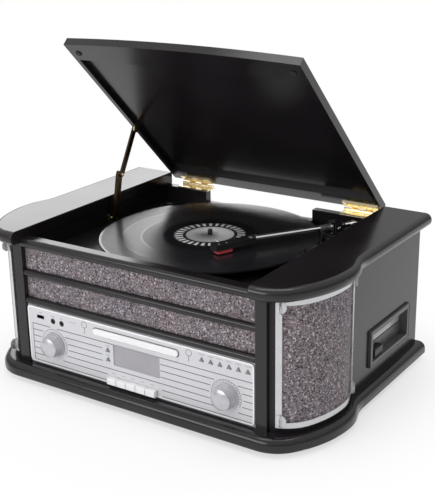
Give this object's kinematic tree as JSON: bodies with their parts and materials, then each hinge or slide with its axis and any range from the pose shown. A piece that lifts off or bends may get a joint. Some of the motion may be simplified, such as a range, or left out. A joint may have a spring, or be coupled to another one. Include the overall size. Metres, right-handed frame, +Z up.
{
  "type": "record player",
  "caption": "Retro music centre: record player under a hinged lid on a stay, with radio panel, CD tray, cassette slot and curved speaker corners.",
  "frame": {"origin": "on the table, under the centre of the outline with the lid open", "axes": "+Z up, -Y the front with the control panel, +X the right side with the cassette slot"},
  "size_m": [0.5252, 0.371, 0.4544],
  "materials": {
    "lacquer": "black high-gloss lacquer",
    "inner_black": "satin black paint",
    "grille_cloth": "woven grey speckle",
    "grille_frame": "silver paint",
    "panel_silver": "pale satin",
    "display": "grey unlit screen",
    "knob_silver": "silver plated",
    "white_plastic": "gloss",
    "black_plastic": "satin",
    "cassette_plastic": "satin dark grey",
    "steel": "zinc plated",
    "brass": "polished",
    "stay_bronze": "dark bronze",
    "rubber": "matte",
    "vinyl": "grooved gloss",
    "chrome": "polished",
    "cartridge_red": "gloss",
    "speaker": "steel basket, paper cone",
    "board_green": "solder mask"
  },
  "bodies": {
    "cabinet": {"base_plinth": "lacquer", "rubber_feet": "rubber", "side_panels": "lacquer", "back_panel": "lacquer", "top_wings": "lacquer", "well_walls": "inner_black", "front_pillars": "lacquer", "front_baffle": "inner_black", "front_mouldings": "lacquer", "grille_cloth": "grille_cloth", "corner_housings": "inner_black", "speaker_frames": "grille_frame", "frame_screws": "steel", "speaker_drivers": "speaker", "motor_board": "inner_black", "spindle_bearing": "steel", "turntable_motor": "steel", "drive_belt": "rubber", "tonearm_base": "black_plastic", "control_panel": "panel_silver", "display_window": "display", "port_sockets": "black_plastic", "cassette_bezel": "cassette_plastic", "player_mechanisms": "black_plastic", "circuit_board": "board_green", "rear_connector_plate": "black_plastic", "cabinet_fittings": "brass"},
    "turntable": {"platter": "black_plastic", "record": "vinyl"},
    "motor_pulley": {"motor_pulley": "brass"},
    "speed_switch": {"speed_switch": "black_plastic"},
    "auto_stop_switch": {"auto_stop_switch": "black_plastic"},
    "tonearm_gimbal": {"tonearm_gimbal": "black_plastic"},
    "tonearm": {"tonearm_tube": "chrome", "headshell": "black_plastic", "cartridge": "cartridge_red"},
    "lid": {"lid_panel": "lacquer", "lid_frame": "lacquer", "lid_bumpers": "rubber", "lid_fittings": "brass"},
    "stay_lower_arm": {"stay_lower_arm": "stay_bronze"},
    "stay_upper_arm": {"stay_upper_arm": "stay_bronze"},
    "volume_knob": {"volume_knob": "knob_silver"},
    "tuning_knob": {"tuning_knob": "knob_silver"},
    "cd_tray": {"cd_tray": "white_plastic"},
    "cassette_door": {"cassette_door": "cassette_plastic"},
    "eject_button": {"eject_button": "cassette_plastic"},
    "track_button_1": {"track_button_1": "black_plastic"},
    "track_button_2": {"track_button_2": "black_plastic"},
    "track_button_3": {"track_button_3": "black_plastic"},
    "track_button_4": {"track_button_4": "black_plastic"},
    "track_button_5": {"track_button_5": "black_plastic"},
    "track_button_6": {"track_button_6": "black_plastic"},
    "side_button_1": {"side_button_1": "black_plastic"},
    "side_button_2": {"side_button_2": "black_plastic"},
    "key_1": {"key_1": "white_plastic"},
    "key_2": {"key_2": "white_plastic"},
    "key_3": {"key_3": "white_plastic"},
    "key_4": {"key_4": "white_plastic"},
    "key_5": {"key_5": "white_plastic"}
  },
  "joints": [
    {"name": "lid_hinge", "type": "hinge", "parent": "cabinet", "child": "lid", "pos_m": [0, 0.17754, 0.198], "axis": [-1, 0, 0], "range_deg": [-44.7, 0]},
    {"name": "stay_wall_pivot", "type": "hinge", "parent": "cabinet", "child": "stay_lower_arm", "pos_m": [-0.176, 0.02054, 0.18], "axis": [-1, 0, 0], "range_deg": [-96.61, 0]},
    {"name": "stay_lid_pivot", "type": "hinge", "parent": "lid", "child": "stay_upper_arm", "pos_m": [-0.1705, 0.06809, 0.30491], "axis": [-1, 0, 0], "range_deg": [0, 96.41]},
    {"name": "platter_spin", "type": "hinge", "parent": "cabinet", "child": "turntable", "pos_m": [0.002, 0.00774, 0.1866], "axis": [0, 0, -1], "continuous": true},
    {"name": "pulley_spin", "type": "hinge", "parent": "cabinet", "child": "motor_pulley", "pos_m": [-0.08073, 0.09047, 0.1818], "axis": [0, 0, -1], "continuous": true},
    {"name": "tonearm_swing", "type": "hinge", "parent": "cabinet", "child": "tonearm_gimbal", "pos_m": [0.147, 0.09504, 0.2], "axis": [0, 0, 1], "range_deg": [-10, 38]},
    {"name": "tonearm_lift", "type": "hinge", "parent": "tonearm_gimbal", "child": "tonearm", "pos_m": [0.147, 0.09504, 0.2], "axis": [-0.8271, 0.5621, 0], "range_deg": [0, 8]},
    {"name": "speed_switch_slide", "type": "slide", "parent": "cabinet", "child": "speed_switch", "axis": [1, 0, 0], "range_m": [0, 0.012]},
    {"name": "auto_stop_slide", "type": "slide", "parent": "cabinet", "child": "auto_stop_switch", "axis": [1, 0, 0], "range_m": [0, 0.006]},
    {"name": "volume_turn", "type": "hinge", "parent": "cabinet", "child": "volume_knob", "pos_m": [-0.1346, -0.16596, 0.0593], "axis": [0, -1, 0], "range_deg": [-140, 140]},
    {"name": "tuning_turn", "type": "hinge", "parent": "cabinet", "child": "tuning_knob", "pos_m": [0.1395, -0.16596, 0.0565], "axis": [0, -1, 0], "range_deg": [-140, 140]},
    {"name": "track_button_1_press", "type": "slide", "parent": "cabinet", "child": "track_button_1", "axis": [0, 1, 0], "range_m": [0, 0.001], "stiffness_N_per_m": 250},
    {"name": "track_button_2_press", "type": "slide", "parent": "cabinet", "child": "track_button_2", "axis": [0, 1, 0], "range_m": [0, 0.001], "stiffness_N_per_m": 250},
    {"name": "track_button_3_press", "type": "slide", "parent": "cabinet", "child": "track_button_3", "axis": [0, 1, 0], "range_m": [0, 0.001], "stiffness_N_per_m": 250},
    {"name": "track_button_4_press", "type": "slide", "parent": "cabinet", "child": "track_button_4", "axis": [0, 1, 0], "range_m": [0, 0.001], "stiffness_N_per_m": 250},
    {"name": "track_button_5_press", "type": "slide", "parent": "cabinet", "child": "track_button_5", "axis": [0, 1, 0], "range_m": [0, 0.001], "stiffness_N_per_m": 250},
    {"name": "track_button_6_press", "type": "slide", "parent": "cabinet", "child": "track_button_6", "axis": [0, 1, 0], "range_m": [0, 0.001], "stiffness_N_per_m": 250},
    {"name": "side_button_1_press", "type": "slide", "parent": "cabinet", "child": "side_button_1", "axis": [0, 1, 0], "range_m": [0, 0.001], "stiffness_N_per_m": 250},
    {"name": "side_button_2_press", "type": "slide", "parent": "cabinet", "child": "side_button_2", "axis": [0, 1, 0], "range_m": [0, 0.001], "stiffness_N_per_m": 250},
    {"name": "key_1_press", "type": "slide", "parent": "cabinet", "child": "key_1", "axis": [0, 1, 0], "range_m": [0, 0.003], "stiffness_N_per_m": 250},
    {"name": "key_2_press", "type": "slide", "parent": "cabinet", "child": "key_2", "axis": [0, 1, 0], "range_m": [0, 0.003], "stiffness_N_per_m": 250},
    {"name": "key_3_press", "type": "slide", "parent": "cabinet", "child": "key_3", "axis": [0, 1, 0], "range_m": [0, 0.003], "stiffness_N_per_m": 250},
    {"name": "key_4_press", "type": "slide", "parent": "cabinet", "child": "key_4", "axis": [0, 1, 0], "range_m": [0, 0.003], "stiffness_N_per_m": 250},
    {"name": "key_5_press", "type": "slide", "parent": "cabinet", "child": "key_5", "axis": [0, 1, 0], "range_m": [0, 0.003], "stiffness_N_per_m": 250},
    {"name": "cd_tray_slide", "type": "slide", "parent": "cabinet", "child": "cd_tray", "axis": [0, -1, 0], "range_m": [0, 0.128]},
    {"name": "cassette_door_swing", "type": "hinge", "parent": "cabinet", "child": "cassette_door", "pos_m": [0.2281, 0.07929, 0.0826], "axis": [0, 1, 0], "range_deg": [0, 75], "stiffness_Nm_per_rad": 0.004},
    {"name": "eject_press", "type": "slide", "parent": "cabinet", "child": "eject_button", "axis": [-1, 0, 0], "range_m": [0, 0.003], "stiffness_N_per_m": 300}
  ],
  "couplings": [
    {"joint": "pulley_spin", "follows": "platter_spin", "ratio": 12.25},
    {"joint": "stay_wall_pivot", "follows": "lid_hinge", "ratio": 2.161},
    {"joint": "stay_lid_pivot", "follows": "lid_hinge", "ratio": -2.1566}
  ]
}
